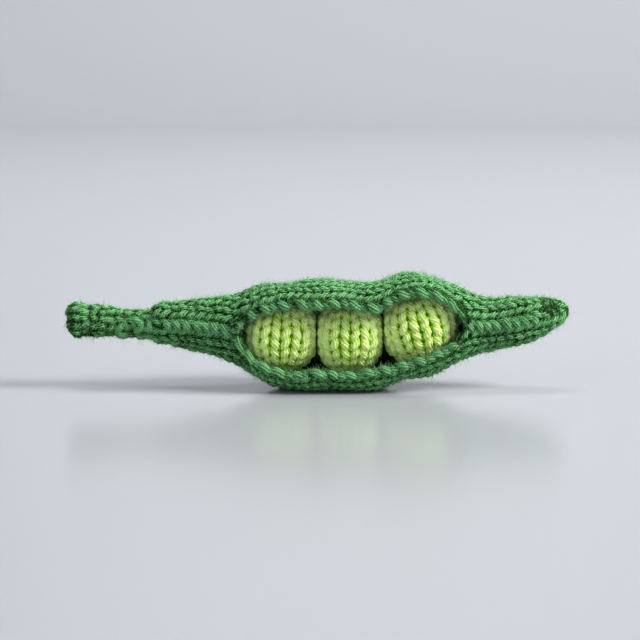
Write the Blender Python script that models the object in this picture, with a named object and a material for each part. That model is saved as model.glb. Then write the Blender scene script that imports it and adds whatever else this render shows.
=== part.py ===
# A knitted pea pod at rest on a table: three stuffed lime peas in a green pod of stocking stitch.
#
# The pod lies along X with its stem towards -X, and its mouth opens towards -Y. Its stitches run along X
# in columns, each a row of Vs that point to the stem, where the knitting began. The fabric is one wall
# whose outer face has the Vs raised on it. Behind the mouth the wall is hollow, and the peas sit there.

import math
from functools import lru_cache

import bpy
import numpy as np

MM = 0.001  # lengths below are in millimetres

# The pod's outline seen from the front: along X, then its lowest and highest point
OUTLINE = (
    (-62.5, 12.9, 21.4),
    (-55.0, 12.3, 21.1),
    (-46.5, 12.5, 20.1),
    (-41.0, 11.4, 20.4),
    (-35.0, 10.0, 22.0),
    (-24.0, 7.4, 23.2),
    (-20.0, 5.4, 23.8),
    (-13.5, 1.8, 26.2),
    (-7.0, 0.0, 26.6),
    (3.0, -0.6, 27.4),
    (13.0, -0.3, 26.6),
    (21.0, 1.9, 28.8),
    (27.0, 3.0, 28.4),
    (35.0, 6.6, 25.0),
    (42.0, 8.9, 22.8),
    (48.0, 10.2, 23.2),
    (55.5, 12.8, 23.0),
    (62.5, 15.6, 22.8),
)
LENGTH = 125.0
STEM_CAP = 3.2  # how far from its end the stem starts to round off
TIP_CAP = 7.5  # the same at the other end

DEPTH_SHIFT = -0.985  # sets the pod's middle, from mouth to back, on the X axis
BACK_DEPTH = 0.93  # the pod's reach behind its axis, as a share of its half height
FRONT_DEPTH = 0.97  # the same in front, if it were closed there
WALL = 2.5  # the fabric's thickness

ROW = 2.17  # from one row of stitches to the next, along X
FIRST_ROW = -61.6
STITCH = 4.7  # the width of a column of stitches
FEWEST_STITCHES = 5
MOST_STITCHES = 13
SLANT = 1.3  # how many rows a V's arms reach along X

MOUTH_ROWS = (19, 45)  # the rows at the mouth's two corners
MOUTH_HALF_HEIGHT = 7.4
MOUTH_SQUARING = 0.25  # how far the rims stand up at the front, from 0, round, towards 1, square
MOUTH_FULLNESS = 5  # 2 is an ellipse-like mouth, and more keeps its height nearer the corners
MOUTH_DIPS = ((-0.6, 0.5), (13.4, 1.1))  # where neighbouring peas meet, and how far each lip dips there
MOUTH_RISES = ((-15.0, -0.7), (28.0, 1.0))  # where its middle lies lower or higher, and by how much
LIP_RADIUS = 2.0
LIP_TURN = math.radians(160)
LIP_START = 3.0  # the mouth's half height at which a lip has its full radius

HOLLOW_ROWS = (15, 50)
HOLLOW_COLUMNS = 14

# How far below the outer face the fabric lies, at each place on a stitch
BETWEEN_COLUMNS = 1.1
BETWEEN_ARMS = 0.75
BETWEEN_ROWS = 0.6
SEAM_DEPTH = 1.3
PRESSED = 1.6  # the stitches flatten within this height of the table

# Each pea's middle along X, half width, and the lean of its columns
PEAS = {
    "left": (-9.3, 8.6, math.radians(3)),
    "middle": (7.6, 7.95, math.radians(0)),
    "right": (24.75, 8.9, math.radians(-14)),
}
PEA_HALF_DEPTH = 8.8
PEA_HALF_HEIGHT = 9.5
PEA_SQUARENESS = 2.5  # 2 is an ellipsoid, and more is flatter where peas touch
PEA_STITCHES = 10
PEA_ROWS = 10
PEA_END_ROWS = 1  # rows at each pole that are drawn together
PEA_SLANT = 1.0
PEA_WALL = 2.9
GATHER_HOLE = 0.7  # the radius of the hole where the yarn draws a pea's end together
STUFFING_GAP = 0.4
STUFFING_RINGS = 7

GREEN = (0.13, 0.36, 0.12)
LIME = (0.52, 0.70, 0.16)
WHITE = (0.9, 0.9, 0.88)


def clear_scene():
    for obj in list(bpy.data.objects):
        bpy.data.objects.remove(obj, do_unlink=True)


def smooth_through(knots, x):
    """The value at x of a smooth curve through (place, value) knots."""
    places = [k[0] for k in knots]
    i = min(max(int(np.searchsorted(places, x)) - 1, 0), len(knots) - 2)

    def slope(k):
        low, high = max(k - 1, 0), min(k + 1, len(knots) - 1)
        return (knots[high][1] - knots[low][1]) / (places[high] - places[low])

    span = places[i + 1] - places[i]
    t = (x - places[i]) / span
    return (
        (2 * t**3 - 3 * t**2 + 1) * knots[i][1]
        + (t**3 - 2 * t**2 + t) * span * slope(i)
        + (3 * t**2 - 2 * t**3) * knots[i + 1][1]
        + (t**3 - t**2) * span * slope(i + 1)
    )


def smooth_step(t):
    t = min(max(t, 0.0), 1.0)
    return t * t * (3 - 2 * t)


def row_place(row):
    return FIRST_ROW + ROW * row


def end_rounding(x):
    """The share of its full girth that the pod has at x: 1 along it, falling to 0 at both ends."""
    stem = max((-LENGTH / 2 + STEM_CAP - x) / STEM_CAP, 0.0)
    tip = max((x - LENGTH / 2 + TIP_CAP) / TIP_CAP, 0.0)
    return math.sqrt(max(1 - max(stem, tip) ** 2, 0.0))


def girth(x):
    """The pod's middle height and its half height at x."""
    low = smooth_through([(p, a) for p, a, _ in OUTLINE], x)
    high = smooth_through([(p, b) for p, _, b in OUTLINE], x)
    return (low + high) / 2, (high - low) / 2 * end_rounding(x)


def mouth_half_height(x):
    start, end = (row_place(row) for row in MOUTH_ROWS)
    u = (2 * x - start - end) / (end - start)
    if abs(u) >= 1:
        return 0.0
    dip = sum(depth * math.exp(-(((x - place) / 4) ** 2)) for place, depth in MOUTH_DIPS)
    return MOUTH_HALF_HEIGHT * (1 - abs(u) ** MOUTH_FULLNESS) - dip * (1 - u * u)


def front_power(opening):
    """The power that squares the front of a section: 1 leaves it round, as away from the mouth."""
    return 1 - MOUTH_SQUARING * smooth_step(opening / LIP_START)


def section_point(half, angle, power, inset):
    """A point (y, z) of a section, whose back is round and whose front is squared by the power."""
    at_back = angle > math.pi / 2
    depth = (BACK_DEPTH if at_back else FRONT_DEPTH) * half - inset
    power = 1.0 if at_back else power
    along, up = math.cos(angle), max(math.sin(angle), 0.0)
    return -depth * math.copysign(abs(along) ** power, along), (half - inset) * up**power


def mouth_rise(x, y, half):
    """How much higher the mouth lies at x, at a point that far forward. The back stays."""
    rise = sum(height * math.exp(-(((x - place) / 7) ** 2)) for place, height in MOUTH_RISES)
    return rise * smooth_step(-y / max(half, 0.1))


@lru_cache(maxsize=None)
def half_section(x):
    """The upper half of the outer face at x, from the back to the lip's edge: lengths along it, and (y, z)."""
    _, half = girth(x)
    opening = mouth_half_height(x)
    lip = LIP_RADIUS * smooth_step(opening / LIP_START)
    power = front_power(opening)
    share = min((opening + lip) / (half - lip), 1.0) if opening > 0 else 0.0
    angles = np.linspace(math.pi, math.asin(share ** (1 / power)), 48)
    points = np.array([section_point(half, angle, power, 0.0) for angle in angles])
    if lip > 0:
        along = points[-1] - points[-2]
        out = np.array([along[1], -along[0]]) / np.linalg.norm(along)
        out *= -1 if out @ points[-1] < 0 else 1
        first = math.atan2(out[1], out[0])
        turns = first + np.linspace(0, 1, 12)[1:] * LIP_TURN * lip / LIP_RADIUS
        centre = points[-1] - lip * out
        roll = centre + lip * np.stack([np.cos(turns), np.sin(turns)], 1)
        points = np.concatenate([points, roll])
    steps = np.linalg.norm(np.diff(points, axis=0), axis=1)
    return np.concatenate([[0.0], np.cumsum(steps)]), points


def half_length(x):
    return half_section(x)[0][-1]


def outer_face(x, s):
    """The point of the outer face at x, at the distance s round it from the back. s is negative below."""
    lengths, points = half_section(x)
    s_in = min(abs(s), lengths[-1])
    y = np.interp(s_in, lengths, points[:, 0])
    z = np.interp(s_in, lengths, points[:, 1])
    middle, half = girth(x)
    return np.array([x, y, middle + math.copysign(z, s) + mouth_rise(x, y, half)])


def outward(x, s):
    """The outer face's unit normal."""
    step = 0.2
    limit = half_length(x) - step
    s = min(max(s, -limit), limit)
    x = min(max(x, -LENGTH / 2 + 2 * step), LENGTH / 2 - 2 * step)
    around = outer_face(x, s + step) - outer_face(x, s - step)
    along = outer_face(x + step, s) - outer_face(x - step, s)
    normal = np.cross(around, along)
    return normal / np.linalg.norm(normal)


def stitches_at(x):
    """How many columns of stitches go round the pod at x, an odd number."""
    wanted = 2 * half_length(x) / STITCH
    odd = 2 * round((wanted - 1) / 2) + 1
    return min(max(odd, FEWEST_STITCHES), MOST_STITCHES)


def column_place(x, column, count):
    """The distance round from the back to a place given in columns. The last column takes up the slack."""
    half = half_length(x)
    width = min(STITCH, 2 * half / count)
    inner = count / 2 - 1
    if abs(column) <= inner:
        return column * width
    share = min(abs(column) - inner, 1.0)
    return math.copysign(inner * width + share * (half - inner * width), column)


class Shell:
    """Vertices and faces that are gathered for one closed mesh."""

    def __init__(self):
        self.points = []
        self.faces = []

    def point(self, place):
        self.points.append(tuple(place))
        return len(self.points) - 1

    def face(self, *corners):
        distinct = [c for i, c in enumerate(corners) if c != corners[i - 1]]
        if len(set(distinct)) == len(distinct) >= 3:
            self.faces.append(distinct)

    def strip(self, first, second):
        """Faces between two rows of vertices of one length."""
        for i in range(len(first) - 1):
            self.face(first[i], first[i + 1], second[i + 1], second[i])

    def fan(self, pole, ring, turned=False):
        for i in range(len(ring) - 1):
            pair = (ring[i + 1], ring[i]) if turned else (ring[i], ring[i + 1])
            self.face(pole, *pair)


def stitch_depth(quarter, on_row):
    """How deep a quarter of a column lies: between columns, between a V's arms, or on an arm."""
    if quarter % 4 == 2:
        return BETWEEN_COLUMNS
    if quarter % 4 == 0:
        return BETWEEN_ARMS
    return 0.0 if on_row else BETWEEN_ROWS


def slant_share(quarter):
    """How far along its arm a V is at this quarter: 0 at its point, 1 at its ends."""
    return min(quarter % 4, -quarter % 4) / 2


def pressed_in(place, normal, depth):
    """A point of the fabric that deep under the outer face, flattened against the table."""
    free = smooth_step(place[2] / PRESSED)
    moved = place - normal * depth * free
    moved[2] = max(moved[2], 0.0)
    return moved


def pod_vertex(shell, row, quarter, count, on_row, closed):
    """The outer face's vertex at that row and quarter column, whose slant fades at the mouth's edge."""
    at_edge = abs(quarter) >= 2 * count
    slant = 0.0 if at_edge else SLANT * slant_share(quarter)
    x = row_place(row) + ROW * slant
    x = min(max(x, -LENGTH / 2 + 0.3), LENGTH / 2 - 0.3)
    s = column_place(x, quarter / 4, count)
    depth = stitch_depth(quarter, on_row)
    if at_edge and closed:
        depth = SEAM_DEPTH
    elif at_edge:
        depth = 0.0
    thin = girth(x)[1] / (girth(x)[1] + WALL / 2)
    return shell.point(pressed_in(outer_face(x, s), outward(x, s), depth * thin))


def pod_rows(shell):
    """The outer face as rows of vertex numbers, two rows to each row of stitches."""
    reach = 2 * MOST_STITCHES
    last_row = round((LENGTH / 2 - FIRST_ROW) / ROW)
    rows = []
    for half_row in range(2 * last_row):
        row = half_row / 2
        count = stitches_at(row_place(row))
        closed = not MOUTH_ROWS[0] < row < MOUTH_ROWS[1]
        made = {}
        for quarter in range(-2 * count, 2 * count + 1):
            if closed and quarter == 2 * count:
                made[quarter] = made[-quarter]
            else:
                on_row = half_row % 2 == 1
                made[quarter] = pod_vertex(shell, row, quarter, count, on_row, closed)
        edge = 2 * count
        rows.append([made[min(max(q, -edge), edge)] for q in range(-reach, reach + 1)])
    return rows


def hollow_rows(shell):
    """The inner face as rows of vertex numbers, one to each row of stitches."""
    rows = []
    for row in range(HOLLOW_ROWS[0], HOLLOW_ROWS[1] + 1):
        x = row_place(row)
        middle, half = girth(x)
        opening = mouth_half_height(x)
        lip = LIP_RADIUS * smooth_step(opening / LIP_START)
        power = front_power(opening)
        edge_share = min((opening + lip) / (half - WALL), 1.0) if opening > 0 else 0.0
        edge = math.asin(edge_share ** (1 / power))
        made = []
        for column in range(-HOLLOW_COLUMNS // 2, HOLLOW_COLUMNS // 2 + 1):
            share = abs(column) / (HOLLOW_COLUMNS // 2)
            angle = math.pi - share * (math.pi - edge)
            y, z = section_point(half, angle, power, WALL)
            if column == HOLLOW_COLUMNS // 2 and opening <= 0:
                made.append(made[0])
            else:
                z = middle + math.copysign(z, column) + mouth_rise(x, y, half)
                made.append(shell.point((x, y, z)))
        rows.append(made)
    return rows


def join_edges(shell, outer, inner, side):
    """The lip's inner side, from the outer face's edge to the inner face's, along one side of the mouth."""
    end = 0 if side < 0 else -1
    for row in range(*MOUTH_ROWS):
        a, b, c = (outer[2 * row + k][end] for k in range(3))
        d, e = (inner[row - HOLLOW_ROWS[0] + k][end] for k in range(2))
        for face in ((a, b, d), (b, c, e), (b, e, d)):
            shell.face(*(face if side < 0 else face[::-1]))


def add_object(name, shell, colour, material_name):
    mesh = bpy.data.meshes.new(name)
    points = [(MM * x, MM * (y + DEPTH_SHIFT), MM * z) for x, y, z in shell.points]
    mesh.from_pydata(points, [], shell.faces)
    mesh.validate()
    material = bpy.data.materials.get(material_name) or bpy.data.materials.new(material_name)
    material.use_nodes = True
    shader = material.node_tree.nodes["Principled BSDF"]
    shader.inputs["Base Color"].default_value = (*colour, 1.0)
    shader.inputs["Roughness"].default_value = 0.9
    shader.inputs["Metallic"].default_value = 0.0
    mesh.materials.append(material)
    obj = bpy.data.objects.new(name, mesh)
    bpy.context.scene.collection.objects.link(obj)
    return obj


def make_pod():
    shell = Shell()
    outer = pod_rows(shell)
    for first, second in zip(outer, outer[1:]):
        shell.strip(first, second)
    middle_at = [girth(x)[0] for x in (-LENGTH / 2, LENGTH / 2)]
    stem_end = shell.point((-LENGTH / 2, 0.0, middle_at[0]))
    tip_end = shell.point((LENGTH / 2, 0.0, middle_at[1]))
    shell.fan(stem_end, outer[0], turned=True)
    shell.fan(tip_end, outer[-1], turned=False)

    inner = hollow_rows(shell)
    for first, second in zip(inner, inner[1:]):
        shell.strip(second, first)
    ends = []
    for row in HOLLOW_ROWS:
        beyond = row + (-0.6 if row == HOLLOW_ROWS[0] else 0.6)
        x = row_place(beyond)
        ends.append(shell.point((x, 0.0, girth(x)[0])))
    shell.fan(ends[0], inner[0], turned=False)
    shell.fan(ends[1], inner[-1], turned=True)
    for side in (-1, 1):
        join_edges(shell, outer, inner, side)
    return add_object("pod", shell, GREEN, "green_yarn")


def pea_radius(direction, half_width, inset):
    """How far a pea's face is from its middle in a direction, that far inside its outer face."""
    x = abs(direction[0]) / (half_width - inset)
    across = math.hypot(
        direction[1] / (PEA_HALF_DEPTH - inset), direction[2] / (PEA_HALF_HEIGHT - inset)
    )
    p = PEA_SQUARENESS
    return (x**p + across**p) ** (-1 / p)


def pea_point(pea, polar, turn, inset):
    """A point at an angle up from the lower pole and a turn round, on a pea whose columns lean."""
    middle_x, half_width, lean = PEAS[pea]
    flat = math.sin(polar)
    direction = np.array([flat * math.sin(turn), -flat * math.cos(turn), -math.cos(polar)])
    x = direction[0] * math.cos(lean) + direction[2] * math.sin(lean)
    z = direction[2] * math.cos(lean) - direction[0] * math.sin(lean)
    direction = np.array([x, direction[1], z])
    middle = np.array([middle_x, 0.0, girth(middle_x)[0]])
    return middle + direction * pea_radius(direction, half_width, inset)


def pea_outer_rings(shell, pea):
    """Rings of vertex numbers up the stitches of a pea, two to each row, each closed on itself."""
    rings = []
    for half_row in range(2 * PEA_END_ROWS, 2 * (PEA_ROWS - PEA_END_ROWS) + 1):
        ring = []
        for quarter in range(4 * PEA_STITCHES):
            slant = PEA_SLANT * slant_share(quarter) - PEA_SLANT / 2
            polar = math.pi * (half_row / 2 + slant) / PEA_ROWS
            turn = 2 * math.pi * quarter / (4 * PEA_STITCHES)
            depth = stitch_depth(quarter, half_row % 2 == 1) * math.sin(polar)
            ring.append(shell.point(pea_point(pea, polar, turn, depth)))
        rings.append(ring + ring[:1])
    return rings


def plain_ring(shell, pea, polar, inset, sides=PEA_STITCHES):
    made = [
        shell.point(pea_point(pea, polar, 2 * math.pi * side / sides, inset))
        for side in range(sides)
    ]
    return made + made[:1]


def narrow(shell, wide, ring, turned):
    """Faces from a ring with four vertices to a column, to one with a single vertex to a column."""
    for column in range(PEA_STITCHES):
        fine = wide[4 * column : 4 * column + 5]
        near, far = ring[column], ring[column + 1]
        faces = [(fine[0], fine[1], near), (fine[1], fine[2], near)]
        faces += [(fine[2], far, near), (fine[2], fine[3], far), (fine[3], fine[4], far)]
        for face in faces:
            shell.face(*(face[::-1] if turned else face))


def make_pea(pea):
    """A pea's knitted cover: hollow, with a small hole at its lower pole where it is drawn together."""
    shell = Shell()
    rings = pea_outer_rings(shell, pea)
    for low, high in zip(rings, rings[1:]):
        shell.strip(low, high)
    _, half_width, _ = PEAS[pea]
    hole = GATHER_HOLE / PEA_HALF_HEIGHT
    inner_hole = GATHER_HOLE / (PEA_HALF_HEIGHT - PEA_WALL)
    foot = plain_ring(shell, pea, hole, BETWEEN_ROWS)
    head = plain_ring(shell, pea, math.pi - hole, BETWEEN_ROWS)
    narrow(shell, rings[0], foot, turned=True)
    narrow(shell, rings[-1], head, turned=False)
    shell.fan(shell.point(pea_point(pea, math.pi, 0.0, BETWEEN_ROWS)), head, turned=False)

    inside = [plain_ring(shell, pea, inner_hole, PEA_WALL)]
    for step in range(1, STUFFING_RINGS):
        inside.append(plain_ring(shell, pea, math.pi * step / STUFFING_RINGS, PEA_WALL))
    for low, high in zip(inside, inside[1:]):
        shell.strip(high, low)
    shell.strip(inside[0], foot)
    shell.fan(shell.point(pea_point(pea, math.pi, 0.0, PEA_WALL)), inside[-1], turned=True)
    return add_object(f"pea_{pea}", shell, LIME, "lime_yarn")


def make_stuffing(pea):
    """The fibre filling, a plain ball that fills the cover."""
    shell = Shell()
    inset = PEA_WALL + STUFFING_GAP
    rings = [
        plain_ring(shell, pea, math.pi * step / STUFFING_RINGS, inset)
        for step in range(1, STUFFING_RINGS)
    ]
    for low, high in zip(rings, rings[1:]):
        shell.strip(low, high)
    shell.fan(shell.point(pea_point(pea, 0.0, 0.0, inset)), rings[0], turned=True)
    shell.fan(shell.point(pea_point(pea, math.pi, 0.0, inset)), rings[-1], turned=False)
    return add_object(f"stuffing_{pea}", shell, WHITE, "fibre_filling")


def main():
    clear_scene()
    make_pod()
    for pea in PEAS:
        make_pea(pea)
        make_stuffing(pea)


main()
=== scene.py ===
# The knitted pea pod, dressed with real stitches: every row is a loop of plied yarn.
#
# The rows lie on the same face as the solid pod's, given here by the same outline. Lengths are in
# millimetres until a mesh is made. "Across" runs round the pod, "along" runs from the stem to the tip.
# A place across is a share: 0 at the back, 1 at the upper edge of the mouth or the seam, -1 at the lower.

import math
from collections import namedtuple

import bpy
import numpy as np
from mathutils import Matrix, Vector

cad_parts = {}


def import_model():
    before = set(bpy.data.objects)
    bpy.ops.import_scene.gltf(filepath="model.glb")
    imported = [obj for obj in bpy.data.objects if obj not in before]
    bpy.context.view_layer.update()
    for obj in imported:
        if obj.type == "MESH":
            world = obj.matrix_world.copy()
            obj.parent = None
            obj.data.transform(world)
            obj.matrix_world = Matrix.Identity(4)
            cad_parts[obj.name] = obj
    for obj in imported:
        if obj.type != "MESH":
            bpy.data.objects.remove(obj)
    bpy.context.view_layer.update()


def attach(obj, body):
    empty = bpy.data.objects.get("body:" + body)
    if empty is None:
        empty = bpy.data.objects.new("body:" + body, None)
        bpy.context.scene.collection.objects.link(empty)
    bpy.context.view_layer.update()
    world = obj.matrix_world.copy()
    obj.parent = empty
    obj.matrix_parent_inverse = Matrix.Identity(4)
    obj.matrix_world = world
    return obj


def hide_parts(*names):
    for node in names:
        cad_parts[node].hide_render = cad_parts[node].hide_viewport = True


MM = 0.001

# The pod's outline seen from the front: along X, then its lowest and highest point
OUTLINE = np.array(
    (
        (-62.5, 12.9, 21.4),
        (-55.0, 12.3, 21.1),
        (-46.5, 12.5, 20.1),
        (-41.0, 11.4, 20.4),
        (-35.0, 10.0, 22.0),
        (-24.0, 7.4, 23.2),
        (-20.0, 5.4, 23.8),
        (-13.5, 1.8, 26.2),
        (-7.0, 0.0, 26.6),
        (3.0, -0.6, 27.4),
        (13.0, -0.3, 26.6),
        (21.0, 1.9, 28.8),
        (27.0, 3.0, 28.4),
        (35.0, 6.6, 25.0),
        (42.0, 8.9, 22.8),
        (48.0, 10.2, 23.2),
        (55.5, 12.8, 23.0),
        (62.5, 15.6, 22.8),
    )
)
LENGTH = 125.0
STEM_CAP = 3.2
TIP_CAP = 7.5
DEPTH_SHIFT = -0.985
BACK_DEPTH = 0.93  # the depth behind the middle, as a share of half the height
FRONT_DEPTH = 0.97

# Rows of stitches
ROW = 2.17
FIRST_ROW = -61.6
LAST_ROW = 56
STITCH = 4.7
ROW_GROUPS = {
    "pod_knit_stem": range(0, 16),
    "pod_knit_left": range(16, 26),
    "pod_knit_middle": range(26, 34),
    "pod_knit_right": range(34, 43),
    "pod_knit_tip": range(43, LAST_ROW + 1),
}

# The mouth and its rolled lips
MOUTH_ROWS = (19, 45)
MOUTH_HALF_HEIGHT = 7.4
MOUTH_SQUARING = 0.25
MOUTH_FULLNESS = 5
MOUTH_DIPS = ((-0.6, 0.5), (13.4, 1.1))  # where along, and how much narrower
DIP_WIDTH = 4
MOUTH_RISES = ((-15.0, -0.7), (28.0, 1.0))  # where along, and how much higher
RISE_WIDTH = 7
LIP_RADIUS = 2.0
LIP_TURN = math.radians(160)
LIP_START = 3.0

# How finely the pod's face is worked out
FACE_SECTIONS = 500
FACE_SHARES = 181
SECTION_POINTS = 64
LIP_POINTS = 20

# The peas: middle along X, half width and lean
PEAS = {
    "left": (-9.3, 8.6, math.radians(3)),
    "middle": (7.6, 7.95, math.radians(0)),
    "right": (24.75, 8.9, math.radians(-14)),
}
PEA_HALF_DEPTH = 8.8
PEA_HALF_HEIGHT = 9.5
PEA_SQUARENESS = 2.5
PEA_ROWS = 10
PEA_STITCHES = 10
POLE_STITCHES = 6  # in the first and the last ring
POLE_YARN = 0.85
PEA_GIRTH_RADIUS = 9.2
POLE_HOLE = 0.12  # an angle from the pole
PEA_PRESS = 0.95  # how far the peas' sides swell towards each other
CONTACTS = (-0.53, 15.75)  # where along X the peas meet, each pressed flat
CONTACT_EASE = 0.3  # how gently a side turns into its flat
CONTACT_ROOM = 0.06

# The yarn
PLIES = 7
PLY_SIDES = 4
TWIST = 7.0  # the length of yarn in which a ply goes once round
LOOSE_TWIST = 18.0  # the yarn of the rims and seams is pulled nearly straight
GREEN_YARN = 0.97  # the yarn's radius
LIME_YARN = 1.12
PLY_FULLNESS = 1.08
PLY_SWELL = 0.07
PLY_SWELL_PACE = 1.7
WANDER = 0.25  # how far a ply's turn strays, and over what length
WANDER_LENGTH = 2.5
# Painted shade in the yarn's colour: darker on the plies' inner sides and deep in the fabric, paler on
# both its faces
PLY_INSIDE = 0.5  # a ply is dark from here inwards, as a share of the yarn's radius, and lit outwards
PLY_RISE = 0.55
PLY_DARK = 0.6
FABRIC_DARK = 0.1
FABRIC_MIDDLE = 1.75  # how deep under the face the middle of the fabric lies

# The shape of one stitch
SAMPLES = 18  # points along it
POD_LOOP = 1.75  # how far a loop reaches forward and back from its row's middle
POD_SPREAD = 0.20  # how far a loop's head opens, as a share of the stitch's width
PEA_LOOP = 2.25
PEA_SPREAD = 0.18
LOOP_DEPTH = 0.34  # how far heads lie behind legs, in yarn widths, each way from the middle
FABRIC_DEPTH = 2.5  # no row of the pod lies deeper, to keep it off the peas
FEWEST_STITCHES = 5
CURL_START = 0.4  # the fabric's edge lies curled inside the lip: where its last column starts
CURL_WIDTH = 2.4
END_ROOM = 0.4  # how far inside the pod's ends the yarn's middle stays

# How uneven the stitches are: lengths in millimetres, and shares of a loop or of a column
Uneven = namedtuple("Uneven", "reach spread along column height yarn")
POD_UNEVEN = Uneven(reach=0.06, spread=0.08, along=0.10, column=0.03, height=0.10, yarn=0.04)
PEA_UNEVEN_ANGLE = 0.012
PEA_UNEVEN_COLUMN = 0.02
PEA_UNEVEN_HEIGHT = 0.08
STEM_ROUGHNESS = 1.6  # how much more uneven the stem's stitches are
STEM_END = -36.0
STEM_FADE = 6

# Swells of the fabric. Slow waves: height, then how fast they run along and across, and their start
SLOW_SWELLS = ((0.22, 0.33, 4, 0.0), (0.18, 0.51, -9, 1.3))
# Rings: height, place along and width. A knob and a waist at the stem's end, then the stem's collar
RING_SWELLS = ((0.35, -60.0, 2.0), (-0.7, -56.4, 1.1), (0.5, -39.2, 1.3), (-0.5, -42.0, 1.6))
# The gathered tip's hollow: height, then place and width along, and across
HOLLOW = (-2.2, (56.2, 1.8), (0.66, 0.24))
SHADED_SWELL = 0.35  # what is sunk deeper than this lies in shade
END_SHADE = (0.2, -62.0, 3.5)  # painted shade on the stem's gathered end: how much darker, place along and width

# Strokes: short leaning pieces of yarn in a chain. Half lengths along the chain and across it
Stroke = namedtuple("Stroke", "pitch along across proud yarn")
RUNGS = Stroke(pitch=1.8, along=0.25, across=1.5, proud=0.15, yarn=0.72)
SEAM = Stroke(pitch=2.3, along=0.8, across=1.3, proud=0.4, yarn=0.92)
STROKE_SAMPLES = 24
STROKE_DIVE = 1.8
STROKE_UNEVEN_LENGTH = 0.1
STROKE_UNEVEN_YARN = 0.05
STROKE_UNEVEN_HEIGHT = 0.08
STROKE_UNEVEN_PITCH = 0.08
CHAIN_STEPS = 400
RUNGS_ALONG = (-47.5, -41.0)  # where along X they start and end
SEAM_ALONG = (-37.5, 53.5)
SEAM_SHARE = 0.985

# The rims: on which side, and how far from the fabric's edge the chain's middle lies
Rim = namedtuple("Rim", "side from_edge stroke")
UPPER_RIM = Rim(1, 3.2, Stroke(pitch=4.3, along=1.5, across=1.7, proud=0.5, yarn=1.02))
LOWER_RIM = Rim(-1, 2.7, Stroke(pitch=4.3, along=1.4, across=1.0, proud=0.5, yarn=1.02))
# Each rim's two chains: the start in pitches, how much it is sunk, and how much lower it lies
RIM_CHAINS = ((0.0, 0.0, 0.0), (0.47, 0.5, 0.4))
RIM_THINNING = 0.2  # how much thinner a chain's yarn is for each millimetre that it is sunk
CORNER_RIM = 0.35  # the share of from_edge that is left at the mouth's corners
CORNER_ROOM = 0.2
RIM_SUNK = 0.7  # how deep the stitches under a rim's chain lie, and how far beyond it
RIM_MARGIN = 0.8

# A thin sheet between the stitches' legs and their heads that closes the gaps, its darker colour painted
# shade
LINING_DEPTHS = (1.5, 1.8)
LINING_ENDS = (1.6, 2.5)
LINING_EDGE = 1.2
LINING_LOWEST = 0.5
LINING_STEPS = (160, 81)
PEA_LINING_STEPS = (25, 49)
PEA_LINING_POLE = 0.03

# Loose fibres. How they lean is given as shares of the ways out, along and round the yarn
POD_FIBRES = 14000
POD_FIBRE = 0.9
PEA_FIBRES = 8000
PEA_FIBRE = 0.55
FIBRE_ANGLE = 0.8  # how far round the yarn from its outer side they start
FIBRE_ROOT = 0.9
FIBRE_OUT = (0.15, 1)
FIBRE_ALONG = 0.8
FIBRE_ROUND = 0.5
FIBRE_BEND = 0.55
MOST_BEND = 0.7
FIBRE_VARIETY = 0.4
FIBRE_LENGTHS = (0.3, 1.8)
FIBRE_RADII = (0.022, 0.045)
FIBRE_TAPER = 0.85
FIBRE_STEPS = 2
FIBRE_SIDES = 3
FIBRE_LOWEST = 0.03

# Colours. Deep and pale carry the fibres' own tones, and also the painted shade of the grooves and the
# painted light of the yarn's tops. Lift makes the whole yarn paler
GREEN_WOOL = {
    "deep": (0.002, 0.024, 0.001),
    "plain": (0.030, 0.195, 0.020),
    "pale": (0.235, 0.565, 0.265),
    "warm": (0.10, 0.24, 0.01),
    "lift": 0.0,
}
LIME_WOOL = {
    "deep": (0.25, 0.55, 0.001),
    "plain": (0.58, 0.94, 0.02),
    "pale": (0.82, 1.0, 0.42),
    "warm": (0.72, 0.80, 0.01),
    "lift": 0.2,
}
FIBRE_PLACE = (300, 1100, 1)  # how fine the fibres' pattern is along a ply and round it
FIBRE_CONTRAST = 1.9
SHADE_CONTRAST = 1.08
TONE_OFFSET = -1.28
TONES = (0.32, 0.5, 0.68)
CLOUDS = (0.35, 0.65)

# The studio, in metres
BACKDROP_COLOUR = (0.41, 0.425, 0.45, 1)
BACKDROP_ROUGHNESS = 0.22
FLOOR_FRONT = -3.0
FLOOR_BACK = 1.2
FLOOR_DROP = 0.00003
SWEEP_RADIUS = 0.5
SWEEP_STEPS = 24
WALL_TOP = 3.5
BACKDROP_HALF_WIDTH = 4.0
SKY_COLOUR = (0.80, 0.83, 0.90, 1)
SKY_STRENGTH = 0.37
LIGHTS = (  # name, place, size, watts, colour and target
    ("key", (1.45, -0.4, 1.1), 0.8, 57, (1.0, 0.98, 0.95), (0, 0, 0.01)),
    ("fill", (-1.2, -1.4, 0.9), 1.2, 6, (0.92, 0.96, 1.0), (0, 0, 0.01)),
    ("wall", (0.0, 0.3, 1.4), 1.0, 19, (0.97, 0.98, 1.0), (0, 1.7, 0.6)),
)

# The camera
ELEVATION = math.radians(8)
VIEW_WIDTH = 158.0  # what the picture shows across, at the pod
CAMERA_DISTANCE = 550.0
CAMERA_TARGET = (0.25, 0.0, 16.8)
SENSOR = 36.0

rng = np.random.default_rng(7)


def smooth_step(t):
    t = np.clip(t, 0.0, 1.0)
    return t * t * (3 - 2 * t)


def smooth_through(places, values, x):
    """A smooth curve through the values at the places, at each x."""
    slopes = np.empty_like(values)
    slopes[1:-1] = (values[2:] - values[:-2]) / (places[2:] - places[:-2])
    slopes[0] = (values[1] - values[0]) / (places[1] - places[0])
    slopes[-1] = (values[-1] - values[-2]) / (places[-1] - places[-2])
    i = np.clip(np.searchsorted(places, x) - 1, 0, len(places) - 2)
    span = places[i + 1] - places[i]
    t = (x - places[i]) / span
    return (
        (2 * t**3 - 3 * t**2 + 1) * values[i]
        + (t**3 - 2 * t**2 + t) * span * slopes[i]
        + (3 * t**2 - 2 * t**3) * values[i + 1]
        + (t**3 - t**2) * span * slopes[i + 1]
    )


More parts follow.
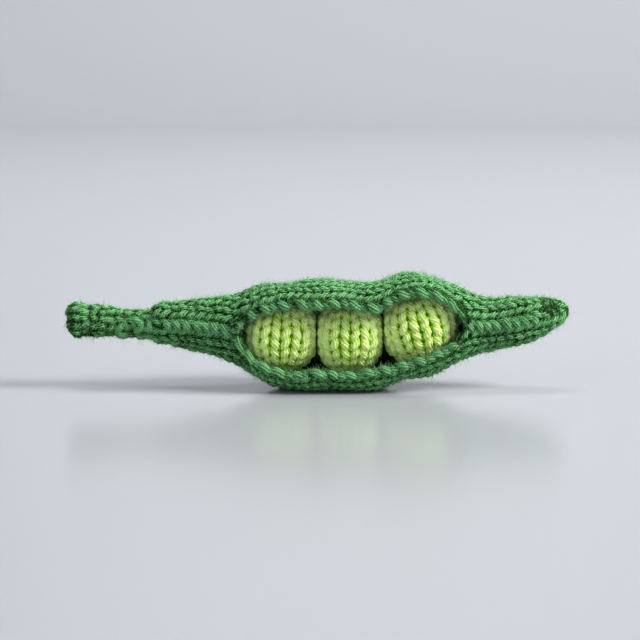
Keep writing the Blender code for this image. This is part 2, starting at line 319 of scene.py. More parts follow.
def looped(values, places, at):
    """Values given at places, eased from each to the next."""
    i = np.clip(np.searchsorted(places, at) - 1, 0, len(places) - 2)
    t = smooth_step((at - places[i]) / (places[i + 1] - places[i]))
    return values[i] * (1 - t) + values[i + 1] * t


def hill(x, place, width):
    return np.exp(-(((x - place) / width) ** 2))


def normalised(vectors):
    return vectors / np.maximum(np.linalg.norm(vectors, axis=-1, keepdims=True), 1e-9)


def lengths_along(path):
    """How far along the path each of its points lies."""
    steps = np.linalg.norm(np.diff(path, axis=0), axis=1)
    return np.concatenate([[0.0], np.cumsum(steps)])


def row_place(row):
    return FIRST_ROW + ROW * row


def mouth_ends():
    return tuple(row_place(row) for row in MOUTH_ROWS)


def girth(x):
    """The pod's middle height and half height at each x, with its rounded ends."""
    low = smooth_through(OUTLINE[:, 0], OUTLINE[:, 1], x)
    high = smooth_through(OUTLINE[:, 0], OUTLINE[:, 2], x)
    stem = np.maximum((-LENGTH / 2 + STEM_CAP - x) / STEM_CAP, 0.0)
    tip = np.maximum((x - LENGTH / 2 + TIP_CAP) / TIP_CAP, 0.0)
    rounding = np.sqrt(np.maximum(1 - np.maximum(stem, tip) ** 2, 0.0))
    return (low + high) / 2, (high - low) / 2 * rounding


def mouth_half_height(x):
    start, end = mouth_ends()
    u = (2 * x - start - end) / (end - start)
    if abs(u) >= 1:
        return 0.0
    dip = sum(depth * hill(x, place, DIP_WIDTH) for place, depth in MOUTH_DIPS)
    return MOUTH_HALF_HEIGHT * (1 - abs(u) ** MOUTH_FULLNESS) - dip * (1 - u * u)


def mouth_openness(x):
    """How open the mouth is at each x, from 0 to 1."""
    return smooth_step(np.array([mouth_half_height(place) for place in x]) / LIP_START)


def mouth_rise(x, y, half):
    """How much higher the mouth lies at x, at points that far forward. The back stays."""
    rise = sum(height * hill(x, place, RISE_WIDTH) for place, height in MOUTH_RISES)
    return rise * smooth_step(-y / max(half, 0.1))


def half_section(x, half):
    """The outer face's upper half at x as (y, z), from the back to the lip's edge or the front seam."""
    opening = mouth_half_height(x)
    open_share = float(smooth_step(opening / LIP_START))
    lip = LIP_RADIUS * open_share
    power = 1 - MOUTH_SQUARING * open_share
    edge = min((opening + lip) / (half - lip), 1.0) if opening > 0 else 0.0
    angles = np.linspace(math.pi, math.asin(edge ** (1 / power)), SECTION_POINTS)
    at_back = angles > math.pi / 2
    reach = np.where(at_back, BACK_DEPTH, FRONT_DEPTH) * half
    power = np.where(at_back, 1.0, power)
    along, up = np.cos(angles), np.maximum(np.sin(angles), 0.0)
    y = -reach * np.sign(along) * np.abs(along) ** power
    points = np.stack([y, half * up**power], 1)
    if lip > 0:
        points = np.concatenate([points, lip_roll(points, lip)])
    return points


def lip_roll(points, lip):
    """The lip's roll, of that radius, which goes on from the section's last points and turns inwards."""
    along = points[-1] - points[-2]
    out = np.array([along[1], -along[0]]) / np.linalg.norm(along)
    out *= -1 if out @ points[-1] < 0 else 1
    turn = LIP_TURN * lip / LIP_RADIUS
    turns = math.atan2(out[1], out[0]) + np.linspace(0, 1, LIP_POINTS)[1:] * turn
    return points[-1] - lip * out + lip * np.stack([np.cos(turns), np.sin(turns)], 1)


class PodFace:
    """The pod's outer face: gives the place and the outward direction at any x and share."""

    def __init__(self):
        self.xs = np.linspace(-LENGTH / 2 + 0.05, LENGTH / 2 - 0.05, FACE_SECTIONS)
        middles, halves = girth(self.xs)
        self.shares = np.linspace(-1, 1, FACE_SHARES)
        self.half_lengths = np.empty(len(self.xs))
        self.points = np.empty((len(self.xs), len(self.shares), 3))
        for i, x in enumerate(self.xs):
            section = half_section(x, halves[i])
            lengths = lengths_along(section)
            self.half_lengths[i] = lengths[-1]
            place = np.abs(self.shares) * lengths[-1]
            self.points[i, :, 0] = x
            y = np.interp(place, lengths, section[:, 0])
            height = np.sign(self.shares) * np.interp(place, lengths, section[:, 1])
            self.points[i, :, 1] = y + DEPTH_SHIFT
            self.points[i, :, 2] = middles[i] + height + mouth_rise(x, y, halves[i])
        around = np.gradient(self.points, axis=1)
        along = np.gradient(self.points, axis=0)
        self.normals = normalised(np.cross(around, along))

    def half_length(self, x):
        """Half the way round the pod at x."""
        return np.interp(x, self.xs, self.half_lengths)

    def sample(self, grid, x, share):
        i = np.clip(np.interp(x, self.xs, np.arange(len(self.xs))), 0, len(self.xs) - 1.001)
        j = np.clip((share + 1) / 2 * (len(self.shares) - 1), 0, len(self.shares) - 1.001)
        i0, j0 = i.astype(int), j.astype(int)
        u, v = (i - i0)[..., None], (j - j0)[..., None]
        low = grid[i0, j0] * (1 - v) + grid[i0, j0 + 1] * v
        high = grid[i0 + 1, j0] * (1 - v) + grid[i0 + 1, j0 + 1] * v
        return low * (1 - u) + high * u

    def at(self, x, share, out):
        """Places a distance outside the face, and the directions outward there."""
        normal = normalised(self.sample(self.normals, x, share))
        return self.sample(self.points, x, share) + normal * out[..., None], normal


class PeaFace:
    """A pea's outer face, the same way: a turn round it and an angle up from its lower pole."""

    def __init__(self, pea):
        self.middle_x, self.half_width, self.lean = PEAS[pea]
        middle_z = girth(np.array([self.middle_x]))[0][0]
        self.middle = np.array([self.middle_x, DEPTH_SHIFT, middle_z])

    def place(self, turn, polar):
        flat = np.sin(polar)
        x = flat * np.sin(turn)
        y = -flat * np.cos(turn)
        z = -np.cos(polar)
        x, z = (
            x * math.cos(self.lean) + z * math.sin(self.lean),
            z * math.cos(self.lean) - x * math.sin(self.lean),
        )
        p = PEA_SQUARENESS
        across = np.hypot(y / PEA_HALF_DEPTH, z / PEA_HALF_HEIGHT)
        radius = ((np.abs(x) / self.half_width) ** p + across**p) ** (-1 / p)
        return self.middle + np.stack([x, y, z], -1) * radius[..., None]

    def at(self, turn, polar, out):
        step = 0.02
        around = self.place(turn + step, polar) - self.place(turn - step, polar)
        up = self.place(turn, polar + step) - self.place(turn, polar - step)
        normal = normalised(np.cross(around, up))
        return self.place(turn, polar) + normal * out[..., None], normal


def mesh_object(name, points, groups, material):
    """An object from points and faces. Each group of faces is an array with a row of corners for each."""
    corners = np.concatenate([faces.ravel() for faces in groups])
    sizes = np.concatenate([np.full(len(faces), faces.shape[1]) for faces in groups])
    mesh = bpy.data.meshes.new(name)
    mesh.vertices.add(len(points))
    mesh.vertices.foreach_set("co", (points * MM).ravel())
    mesh.loops.add(len(corners))
    mesh.loops.foreach_set("vertex_index", corners)
    mesh.polygons.add(len(sizes))
    mesh.polygons.foreach_set("loop_start", np.concatenate([[0], np.cumsum(sizes)[:-1]]))
    mesh.polygons.foreach_set("use_smooth", np.ones(len(sizes), bool))
    mesh.update(calc_edges=True)
    mesh.materials.append(material)
    obj = bpy.data.objects.new(name, mesh)
    bpy.context.scene.collection.objects.link(obj)
    return obj


class YarnMesh:
    """Plied yarn, gathered as closed tubes into one mesh whose map lays each tube out as a strip."""

    def __init__(self):
        self.points = []
        self.quads = []
        self.caps = []
        self.steps = []
        self.roots = []
        self.shades = []
        self.count = 0

    def tube(self, centre, hint, radius, shade):
        tangent = normalised(np.gradient(centre, axis=0))
        side = normalised(hint - (hint * tangent).sum(1, keepdims=True) * tangent)
        other = np.cross(tangent, side)
        turns = math.pi + 2 * math.pi * np.arange(PLY_SIDES) / PLY_SIDES
        ring = (
            np.cos(turns)[None, :, None] * side[:, None]
            + np.sin(turns)[None, :, None] * other[:, None]
        )
        points = centre[:, None] + ring * np.reshape(radius, (-1, 1, 1))
        number = self.count + np.arange(len(centre) * PLY_SIDES).reshape(-1, PLY_SIDES)
        after = np.roll(number, -1, axis=1)
        quads = np.stack([number[:-1], after[:-1], after[1:], number[1:]], -1)
        self.points.append(points.reshape(-1, 3))
        self.shades.append(shade(points).ravel())
        self.quads.append(quads.reshape(-1, 4))
        self.caps += [number[0][::-1], number[-1]]
        self.steps.append(np.linalg.norm(np.diff(centre, axis=0), axis=1))
        self.count += number.size

    def yarn(self, path, normal, radius, out, twist=TWIST):
        """Adds a yarn as plies that wind round the path, in the way of a letter S."""
        length = lengths_along(path)
        tangent = normalised(np.gradient(path, axis=0))
        side = normalised(normal - (normal * tangent).sum(1, keepdims=True) * tangent)
        other = np.cross(tangent, side)
        ply = radius / (1 + 1 / math.sin(math.pi / PLIES))
        knots = np.arange(0, length[-1] + 2 * WANDER_LENGTH, WANDER_LENGTH)
        wander = np.interp(length, knots, rng.normal(0, WANDER, len(knots)))
        start = rng.uniform(0, 2 * math.pi)

        def shade(points):
            """Painted shade, from 0 in the middle of the fabric, where no light comes, to 1 on both its
            faces.
            """
            from_path = points - path[:, None]
            outer = np.linalg.norm(from_path, axis=-1) / radius
            height = out[:, None] + (from_path * normal[:, None]).sum(-1)
            on_ply = np.clip((outer - PLY_INSIDE) / PLY_RISE, 0, 1)
            from_middle = smooth_step(np.abs(height + FABRIC_MIDDLE) / FABRIC_MIDDLE)
            return (PLY_DARK + (1 - PLY_DARK) * on_ply) * (
                FABRIC_DARK + (1 - FABRIC_DARK) * from_middle
            )

        for k in range(PLIES):
            angle = start + 2 * math.pi * k / PLIES - 2 * math.pi * length / twist + wander
            away = np.cos(angle)[:, None] * side + np.sin(angle)[:, None] * other
            swell = 1 + PLY_SWELL * np.sin(length * PLY_SWELL_PACE + 2 * k + start)
            self.tube(path + away * (radius - ply), away, ply * PLY_FULLNESS * swell, shade)
        self.roots.append((path, side, tangent, np.full(len(path), radius)))

    def finish(self, name, material):
        points = np.concatenate(self.points)
        points[:, 2] = np.maximum(points[:, 2], 0.0)
        quads = np.concatenate(self.quads)
        caps = np.array(self.caps)
        obj = mesh_object(name, points, (quads, caps), material)
        shades = obj.data.attributes.new("shade", "FLOAT", "POINT")
        shades.data.foreach_set("value", np.concatenate(self.shades))
        self.lay_out(obj.data, len(quads), len(caps))
        return obj

    def lay_out(self, mesh, quad_count, cap_count):
        """The map: all tubes end to end, cut into lines of one length, each line a band of the map."""
        band, room, margin = 2.4, 4, 0.05
        steps = np.concatenate(self.steps)
        start = np.concatenate([[0.0], np.cumsum(steps)[:-1]])
        line_length = math.sqrt(steps.sum() * band)
        line = np.floor(start / line_length)
        bands = line.max() + 1
        u0 = (start - line * line_length) / (line_length + room)
        u1 = u0 + steps / (line_length + room)
        side = np.arange(PLY_SIDES)
        inner = 1 - 2 * margin
        v0 = (line[:, None] + margin + inner * side / PLY_SIDES) / bands
        v1 = (line[:, None] + margin + inner * (side + 1) / PLY_SIDES) / bands
        u0, u1 = (np.repeat(u[:, None], PLY_SIDES, 1) for u in (u0, u1))
        quads = np.stack([u0, v0, u0, v1, u1, v1, u1, v0], -1).reshape(quad_count, 8)
        flat = np.concatenate([quads.ravel(), np.zeros(cap_count * PLY_SIDES * 2)])
        mesh.uv_layers.new(name="OFBake").data.foreach_set("uv", flat)


def swells(x, share):
    """How far the fabric stands out from the face, in slow waves, rings and the tip's hollow."""
    waves = sum(
        height * np.sin(along * x + across * share + start)
        for height, along, across, start in SLOW_SWELLS
    )
    rings = sum(height * hill(x, place, width) for height, place, width in RING_SWELLS)
    depth, along, across = HOLLOW
    return waves + rings + depth * hill(x, *along) * hill(share, *across)


def columns_round(face, x):
    """How many columns of stitches go round at x, their width, the curled one's width and start, and how
    open the mouth is there, from 0 to 1."""
    half = float(face.half_length(x))
    open_share = float(smooth_step(mouth_half_height(x) / LIP_START))
    start = CURL_START * open_share
    count = max(round(2 * (half - start) / STITCH), FEWEST_STITCHES)
    even = 2 * (half - start) / count
    curled = even + (CURL_WIDTH - even) * open_share
    width = 2 * (half - start - curled) / (count - 2)
    return count, width, curled, start, open_share


def column_share(column, half, count, width, curled, start):
    """Where a place in columns, counted from the lower edge, lies as a share of half the girth."""
    from_edge = np.minimum(column, count - column)
    place = np.where(
        from_edge < 1, start + curled * from_edge, start + curled + width * (from_edge - 1)
    )
    share = 1 - place / half
    return np.where(column < count / 2, -share, share)


def sunk_under_rims(share, half, open_share):
    """How much deeper the stitches lie under the chains along the lips."""
    upper, lower = (rim.from_edge + rim.stroke.across for rim in (UPPER_RIM, LOWER_RIM))
    chain = np.where(share > 0, upper, lower)
    from_edge = (1 - np.abs(share)) * half
    return RIM_SUNK * smooth_step(open_share) * smooth_step(chain + RIM_MARGIN - from_edge)


def knit_pod_row(face, yarns, row):
    """One row of stitches round the pod, from one edge of the fabric to the other."""
    middle = row_place(row)
    half = float(face.half_length(middle))
    count, width, curled, start, open_share = columns_round(face, middle)
    column = np.linspace(0, count, count * SAMPLES + 1)
    t = 2 * math.pi * (column - 0.5)
    places = np.arange(-1, count + 2, 0.5)
    rough = 1 + STEM_ROUGHNESS * float(smooth_step((STEM_END - middle) / STEM_FADE))

    def uneven(amount):
        return looped(rng.normal(0, amount * rough, len(places)), places, column)

    reach = POD_LOOP * (1 + uneven(POD_UNEVEN.reach))
    spread = POD_SPREAD * (1 + uneven(POD_UNEVEN.spread))
    x = middle + reach * np.cos(t) + uneven(POD_UNEVEN.along)
    inside = np.clip(column + spread * np.sin(2 * t) + uneven(POD_UNEVEN.column), 0, count)
    share = column_share(inside, half, count, width, curled, start)
    radius = GREEN_YARN * (1 + POD_UNEVEN.yarn * rng.normal())
    depth = 2 * radius * LOOP_DEPTH
    out = -radius - depth * (1 + np.cos(2 * t)) + uneven(POD_UNEVEN.height)
    out -= sunk_under_rims(share, half, open_share)
    swell = swells(x, share)
    # lit carries painted shade: deeper stitches, swells sunk past SHADED_SWELL and the stem's gathered end
    # come out darker
    darker, place, wide = END_SHADE
    lit = out + np.minimum(swell + SHADED_SWELL, 0.0) - darker * hill(x, place, wide)
    x = np.clip(x, -LENGTH / 2 + END_ROOM, LENGTH / 2 - END_ROOM)
    path, normal = face.at(x, share, np.maximum(out + swell, radius - FABRIC_DEPTH))
    yarns.yarn(path, normal, radius, lit)


def knit_stroke(face, yarns, x_at, share_of, stroke):
    """One short leaning piece of yarn on a line of the face, whose ends dive into the fabric."""
    t = np.linspace(-math.pi / 2, math.pi / 2, STROKE_SAMPLES)
    along, across = (
        half * (1 + rng.normal(0, STROKE_UNEVEN_LENGTH)) * np.sin(t)
        for half in (stroke.along, stroke.across)
    )
    radius = stroke.yarn * (1 + STROKE_UNEVEN_YARN * rng.normal())
    dive = STROKE_DIVE * radius * (1 - np.cos(t))
    out = stroke.proud - radius - dive + rng.normal(0, STROKE_UNEVEN_HEIGHT)
    x = x_at(along)
    share = share_of(x) + across / face.half_length(x)
    share = np.where(share > 1, share - 2, share)  # where the seam is closed its two sides meet
    path, normal = face.at(x, share, out)
    yarns.yarn(path, normal, radius, out, LOOSE_TWIST)


def knit_chain(face, yarns, start, end, share_of, stroke, shift=0.0):
    """A row of strokes, evenly spaced on the line that gives a share for each x from start to end."""
    xs = np.linspace(start, end, CHAIN_STEPS)
    lengths = lengths_along(face.at(xs, share_of(xs), np.zeros(len(xs)))[0])
    first, last = stroke.along + shift * stroke.pitch, lengths[-1] - stroke.along
    for place in np.arange(first, last, stroke.pitch):
        middle = place + rng.normal(0, STROKE_UNEVEN_PITCH) * stroke.pitch

        def x_at(along):
            return np.interp(middle + along, lengths, xs)

        knit_stroke(face, yarns, x_at, share_of, stroke)


def knit_rim(face, yarns, rim, shift, sunk, lower):
    """One chain of edge loops along a lip."""
    start, end = mouth_ends()

    def share_of(x):
        openness = CORNER_RIM + (1 - CORNER_RIM) * mouth_openness(x)
        from_edge = rim.from_edge * openness - rim.side * lower
        return rim.side * (1 - from_edge / face.half_length(x))

    proud = rim.stroke.proud - sunk
    yarn = rim.stroke.yarn * (1 - RIM_THINNING * sunk)
    stroke = rim.stroke._replace(proud=proud, yarn=yarn)
    knit_chain(face, yarns, start + CORNER_ROOM, end - CORNER_ROOM, share_of, stroke, shift)


def knit_edges(face, yarns):
    """The chains along both lips, the loose rungs on the stem, and the seam before and after the mouth."""
    for rim in (UPPER_RIM, LOWER_RIM):
        for shift, sunk, lower in RIM_CHAINS:
            knit_rim(face, yarns, rim, shift, sunk, lower)

    def share_of(x):
        return np.full(len(x), SEAM_SHARE)

    start, end = mouth_ends()
    knit_chain(face, yarns, *RUNGS_ALONG, share_of, RUNGS)
    knit_chain(face, yarns, SEAM_ALONG[0], start, share_of, SEAM)
    knit_chain(face, yarns, end + CORNER_ROOM, SEAM_ALONG[1], share_of, SEAM)


def knit_pod(face, material):
    pieces, roots = [], []
    for name, rows in ROW_GROUPS.items():
        yarns = YarnMesh()
        for row in rows:
            knit_pod_row(face, yarns, row)
        pieces.append(yarns.finish(name, material))
        roots += yarns.roots
    edges = YarnMesh()
    knit_edges(face, edges)
    pieces.append(edges.finish("pod_edges", material))
    return pieces, roots + edges.roots


def held_below(x, limit):
    """x as it is, but eased so that it stays below the limit."""
    start = limit - CONTACT_EASE
    return np.where(x > start, start + CONTACT_EASE * np.tanh((x - start) / CONTACT_EASE), x)


def press_flat(path, middle_x, radius):
    """Keeps a pea's yarn on its own side of the places where the peas meet."""
    for contact in CONTACTS:
        away = math.copysign(1, middle_x - contact)
        nearest = contact + away * (radius + CONTACT_ROOM)
        path[:, 0] = -away * held_below(-away * path[:, 0], -away * nearest)


def knit_pea_ring(face, yarns, row):
    """One ring of stitches round a pea."""
    at_pole = row in (0, PEA_ROWS - 1)
    count = POLE_STITCHES if at_pole else PEA_STITCHES
    t = np.linspace(0, 2 * math.pi * count, count * SAMPLES + 1)
    column = t / (2 * math.pi)
    places = np.arange(-1, count + 2, 0.5)

    def uneven(amount):
        values = rng.normal(0, amount, len(places))
        values[-4:] = values[2:6]  # so that the ring's end meets its start
        return looped(values, places, column)

    radius = LIME_YARN * (POLE_YARN if at_pole else 1)
    polar = math.pi * (row + 0.5) / PEA_ROWS + PEA_LOOP / PEA_GIRTH_RADIUS * np.cos(t)
    polar = np.clip(polar + uneven(PEA_UNEVEN_ANGLE), POLE_HOLE, math.pi - POLE_HOLE)
    strayed = column + PEA_SPREAD * np.sin(2 * t) + uneven(PEA_UNEVEN_COLUMN)
    turn = 2 * math.pi * strayed / count
    depth = 2 * radius * LOOP_DEPTH
    out = -radius - depth * (1 + np.cos(2 * t)) + uneven(PEA_UNEVEN_HEIGHT)
    out += PEA_PRESS * (np.sin(turn) * np.sin(polar)) ** 2
    path, normal = face.at(turn, polar, out)
    press_flat(path, face.middle_x, radius)
    yarns.yarn(path, normal, radius, out)


def knit_pea(pea, material):
    """A pea's cover: rings of stitches up it, with fewer stitches in the rings at its poles."""
    face = PeaFace(pea)
    yarns = YarnMesh()
    for row in range(PEA_ROWS):
        knit_pea_ring(face, yarns, row)
    piece = yarns.finish(f"pea_{pea}_knit", material)
    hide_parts(f"pea_{pea}")
    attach(piece, "root")
    return yarns.roots


def shell_between(name, outer, inner, material):
    """A thin closed shell between two grids of points."""
    rows, columns, _ = outer.shape
    points = np.concatenate([outer.reshape(-1, 3), inner.reshape(-1, 3)])
    number = np.arange(rows * columns).reshape(rows, columns)
    shift = rows * columns
    quads = []
    for offset, order in ((0, 1), (shift, -1)):
        n = number + offset
        block = np.stack([n[:-1, :-1], n[:-1, 1:], n[1:, 1:], n[1:, :-1]], -1).reshape(-1, 4)
        quads.append(block[:, ::order])
    rim = np.concatenate([number[0, :-1], number[:-1, -1], number[-1, :0:-1], number[:0:-1, 0]])
    after = np.roll(rim, -1)
    quads.append(np.stack([after, rim, rim + shift, after + shift], -1))
    return mesh_object(name, points, quads, material)


def pod_lining(face, material):
    """The pod's inside, a thin sheet between the stitches' legs and their heads that closes the gaps; its
    darker green is painted shade.
    """
    steps_along, steps_across = LINING_STEPS
    xs = np.linspace(-LENGTH / 2 + LINING_ENDS[0], LENGTH / 2 - LINING_ENDS[1], steps_along)
    x, share = (a.T for a in np.meshgrid(xs, np.linspace(-1, 1, steps_across)))
    start, end = mouth_ends()
    edge = 1 - LINING_EDGE / face.half_length(x)
    share = share * np.where((x > start) & (x < end), edge, 1.0)
    swell = swells(x, share)
    layers = [face.at(x, share, swell - depth)[0] for depth in LINING_DEPTHS]
    for layer in layers:
        layer[..., 2] = np.maximum(layer[..., 2], LINING_LOWEST)
    return shell_between("pod_lining", *layers, material)


def pea_lining(pea, material):
    face = PeaFace(pea)
    polars = np.linspace(PEA_LINING_POLE, math.pi - PEA_LINING_POLE, PEA_LINING_STEPS[0])
    turns = np.linspace(0, 2 * math.pi, PEA_LINING_STEPS[1])
    polar, turn = (a.T for a in np.meshgrid(polars, turns))
    layers = [face.at(turn, polar, np.full(turn.shape, -depth))[0] for depth in LINING_DEPTHS]
    piece = shell_between(f"pea_{pea}_lining", *layers, material)
    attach(piece, "root")


def fibre_lines(roots, count, length):
    """The middles of loose fibres: a few points each, from the yarn's skin outwards in a slight bend."""
    paths, outs, tangents, radii = (np.concatenate(part) for part in zip(*roots))
    pick = rng.integers(0, len(paths), count)
    out, tangent = outs[pick], tangents[pick]
    side = np.cross(tangent, out)
    angle = rng.normal(0, FIBRE_ANGLE, count)[:, None]
    away = np.cos(angle) * out + np.sin(angle) * side
    base = paths[pick] + away * radii[pick][:, None] * FIBRE_ROOT
    heading = away * rng.uniform(*FIBRE_OUT, (count, 1))
    heading = heading + tangent * rng.normal(0, FIBRE_ALONG, (count, 1))
    heading = normalised(heading + side * rng.normal(0, FIBRE_ROUND, (count, 1)))
    bend = np.clip(rng.normal(0, FIBRE_BEND, (count, 3)), -MOST_BEND, MOST_BEND)
    reach = length * np.clip(rng.lognormal(0, FIBRE_VARIETY, (count, 1)), *FIBRE_LENGTHS)
    u = (np.arange(FIBRE_STEPS + 1) / FIBRE_STEPS)[None, :, None]
    lines = base[:, None] + reach[:, None] * (heading[:, None] * u + bend[:, None] * u**2)
    lines[..., 2] = np.maximum(lines[..., 2], FIBRE_LOWEST)
    return lines


def add_fuzz(name, roots, count, length, material):
    """Fine loose fibres that stand off the yarn, each a closed sliver of three sides."""
    lines = fibre_lines(roots, count, length)
    thick = rng.uniform(*FIBRE_RADII, count)
    flow = normalised(np.gradient(lines, axis=1))
    across = normalised(np.cross(flow, rng.normal(size=(count, 1, 3))))
    other = np.cross(flow, across)
    turns = 2 * math.pi * np.arange(FIBRE_SIDES) / FIBRE_SIDES
    taper = thick[:, None] * (1 - FIBRE_TAPER * np.arange(FIBRE_STEPS + 1) / FIBRE_STEPS)[None]
    rings = lines[:, :, None] + taper[:, :, None, None] * (
        np.cos(turns)[:, None] * across[:, :, None] + np.sin(turns)[:, None] * other[:, :, None]
    )
    number = np.arange(rings[..., 0].size).reshape(count, FIBRE_STEPS + 1, FIBRE_SIDES)
    after = np.roll(number, -1, axis=2)
    quads = np.stack([number[:, :-1], after[:, :-1], after[:, 1:], number[:, 1:]], -1)
    caps = np.concatenate([number[:, 0, ::-1], number[:, -1]])
    return mesh_object(name, rings.reshape(-1, 3), (quads.reshape(-1, 4), caps), material)


class Recipe:
    """A material's nodes. An input takes a value, or a socket of another node."""

    def __init__(self, name):
        self.material = bpy.data.materials.new(name)
        self.material.use_nodes = True
        self.tree = self.material.node_tree
        self.shader = self.tree.nodes["Principled BSDF"]

    def fill(self, node, inputs):
        for name, value in inputs.items():
            if isinstance(value, bpy.types.NodeSocket):
                self.tree.links.new(value, node.inputs[name])
            else:
                node.inputs[name].default_value = value
        return node

    def add(self, kind, inputs):
        return self.fill(self.tree.nodes.new("ShaderNode" + kind), inputs)

    def noise(self, place, scale, detail):
        inputs = {"Vector": place, "Scale": scale, "Detail": detail}
        return self.add("TexNoise", inputs).outputs["Fac"]

    def scaled(self, share, factor, offset):
        node = self.tree.nodes.new("ShaderNodeMath")
        node.operation = "MULTIPLY_ADD"
        node.inputs[1].default_value = factor
        for socket, value in ((node.inputs[0], share), (node.inputs[2], offset)):
            if isinstance(value, bpy.types.NodeSocket):
                self.tree.links.new(value, socket)
            else:
                socket.default_value = value
        return node.outputs["Value"]

    def ramp(self, share, places, colours):
        """A colour that goes through the given ones as the share goes through the places."""
        node = self.add("ValToRGB", {"Fac": share})
        stops = node.color_ramp.elements
        ends = ((stops[0], places[0], colours[0]), (stops[1], places[-1], colours[-1]))
        for stop, place, colour in ends:
            stop.position = place
            stop.color = (*colour, 1)
        for place, colour in zip(places[1:-1], colours[1:-1]):
            stops.new(place).color = (*colour, 1)
        return node.outputs["Color"]


def yarn_material(name, deep, plain, pale, warm, lift):
    """Wool: fibres that run along each ply, a heather of paler and warmer ones, and a soft sheen. The
    mesh's shade attribute paints light and shade into the colour: grooves and the plies' inner sides go
    deep, the yarn's tops go pale.
    """
    recipe = Recipe(name)
    place = recipe.add("TexCoord", {}).outputs
    mapping = {"Vector": place["UV"], "Scale": FIBRE_PLACE}
    stretched = recipe.add("Mapping", mapping).outputs["Vector"]
    fibre = recipe.noise(stretched, 1.0, 3.0)
    # Painted light and shade: the shade attribute moves the tone towards deep in grooves and towards pale
    # on the yarn's tops
    shade = recipe.tree.nodes.new("ShaderNodeAttribute")
    shade.attribute_name = "shade"
    shaded = recipe.scaled(shade.outputs["Fac"], SHADE_CONTRAST, lift + TONE_OFFSET)
    tone = recipe.ramp(recipe.scaled(fibre, FIBRE_CONTRAST, shaded), TONES, (deep, plain, pale))
    heather = recipe.noise(place["Object"], 900.0, 4.0)
    limits = {"Value": heather, "From Min": 0.48, "From Max": 0.68, "To Max": 0.22}
    share = recipe.add("MapRange", limits)
    mix = recipe.tree.nodes.new("ShaderNodeMix")
    mix.data_type = "RGBA"
    recipe.fill(mix, {"Factor": share.outputs["Result"], "A": tone, "B": (*warm, 1)})
    relief = recipe.add("Bump", {"Strength": 0.5, "Distance": 0.0001, "Height": fibre})
    inputs = {
        "Base Color": mix.outputs["Result"],
        "Normal": relief.outputs["Normal"],
        "Roughness": 0.85,
        "Specular IOR Level": 0.1,
        "Sheen Weight": 0.03,
        "Sheen Roughness": 0.45,
        "Sheen Tint": (*pale, 1),
    }
    recipe.fill(recipe.shader, inputs)
    return recipe.material


def plain_material(name, dark, light, scale, roughness):
    """A colour with a fine cloudy grain, for what lies behind the yarn and for the loose fibres."""
    recipe = Recipe(name)
    place = recipe.add("TexCoord", {}).outputs
    grain = recipe.noise(place["Object"], scale, 3.0)
    colour = recipe.ramp(grain, CLOUDS, (dark, light))
    recipe.fill(recipe.shader, {"Base Color": colour, "Roughness": roughness})
    return recipe.material


def add_backdrop():
    """A pale sweep: a floor that curves up into a wall well behind."""
    turn = np.linspace(0, math.pi / 2, SWEEP_STEPS)
    profile = [(FLOOR_FRONT, 0.0)]
    profile += [
        (FLOOR_BACK + SWEEP_RADIUS * math.sin(a), SWEEP_RADIUS * (1 - math.cos(a))) for a in turn
    ]
    profile.append((FLOOR_BACK + SWEEP_RADIUS, WALL_TOP))
    sides = (-BACKDROP_HALF_WIDTH, BACKDROP_HALF_WIDTH)
    points = [(x, y, z - FLOOR_DROP) for y, z in profile for x in sides]
    faces = [(i, i + 1, i + 3, i + 2) for i in range(0, len(points) - 2, 2)]
    recipe = Recipe("backdrop")
    recipe.fill(recipe.shader, {"Base Color": BACKDROP_COLOUR, "Roughness": BACKDROP_ROUGHNESS})
    mesh_object("backdrop", np.array(points) / MM, [np.array(faces)], recipe.material)


def add_light(name, place, size, watts, colour, target):
    data = bpy.data.lights.new(name, "AREA")
    data.size = size
    data.energy = watts
    data.color = colour
    light = bpy.data.objects.new(name, data)
    light.location = place
    light.rotation_euler = (Vector(target) - Vector(place)).to_track_quat("-Z", "Y").to_euler()
    bpy.context.scene.collection.objects.link(light)


def add_lights():
    world = bpy.data.worlds.new("studio")
    bpy.context.scene.world = world
    world.use_nodes = True
    background = world.node_tree.nodes["Background"]
    background.inputs["Color"].default_value = SKY_COLOUR
    background.inputs["Strength"].default_value = SKY_STRENGTH
    for light in LIGHTS:
        add_light(*light)


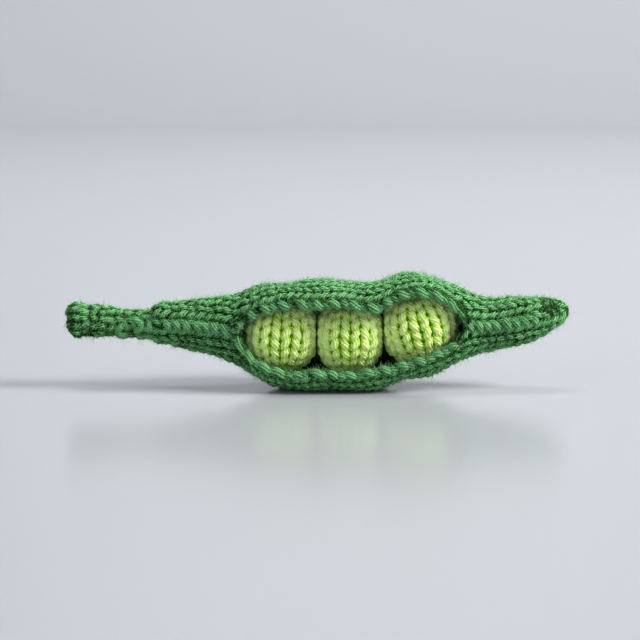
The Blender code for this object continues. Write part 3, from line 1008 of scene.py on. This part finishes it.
def add_camera():
    data = bpy.data.cameras.new("camera")
    data.sensor_width = SENSOR
    data.lens = SENSOR * CAMERA_DISTANCE / VIEW_WIDTH
    camera = bpy.data.objects.new("camera", data)
    away = Vector((0, -math.cos(ELEVATION), math.sin(ELEVATION)))
    camera.location = Vector(CAMERA_TARGET) * MM + away * CAMERA_DISTANCE * MM
    camera.rotation_euler = (-away).to_track_quat("-Z", "Y").to_euler()
    bpy.context.scene.collection.objects.link(camera)
    bpy.context.scene.camera = camera


def dress_pod():
    wool = yarn_material("green_wool", **GREEN_WOOL)
    # The lining's darker green is painted shade in the gaps between stitches
    inside = plain_material("green_lining_painted_shade", (0.03, 0.11, 0.01), (0.07, 0.20, 0.03), 900, 0.95)
    fuzz = plain_material("green_fuzz", (0.06, 0.26, 0.06), (0.26, 0.54, 0.28), 500, 0.8)
    face = PodFace()
    pieces, roots = knit_pod(face, wool)
    pieces.append(pod_lining(face, inside))
    for third in ("first", "second", "third"):
        pieces.append(add_fuzz(f"pod_fuzz_{third}", roots, POD_FIBRES, POD_FIBRE, fuzz))
    for piece in pieces:
        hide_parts("pod")
        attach(piece, "root")


def dress_peas():
    wool = yarn_material("lime_wool", **LIME_WOOL)
    # The linings' darker lime is painted shade in the gaps between stitches
    inside = plain_material("lime_lining_painted_shade", (0.16, 0.33, 0.005), (0.30, 0.50, 0.01), 900, 0.95)
    fuzz = plain_material("lime_fuzz", (0.36, 0.66, 0.005), (0.64, 0.92, 0.07), 500, 0.8)
    filling = plain_material("white_filling", (0.80, 0.80, 0.76), (0.92, 0.92, 0.90), 1200, 0.95)
    roots = []
    for pea in PEAS:
        roots += knit_pea(pea, wool)
        pea_lining(pea, inside)
        bpy.data.objects[f"stuffing_{pea}"].material_slots[0].material = filling
    piece = add_fuzz("peas_fuzz", roots, PEA_FIBRES, PEA_FIBRE, fuzz)
    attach(piece, "root")


def main():
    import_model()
    add_camera()
    add_lights()
    add_backdrop()
    bpy.context.scene.view_settings.view_transform = "Standard"
    dress_pod()
    dress_peas()


main()
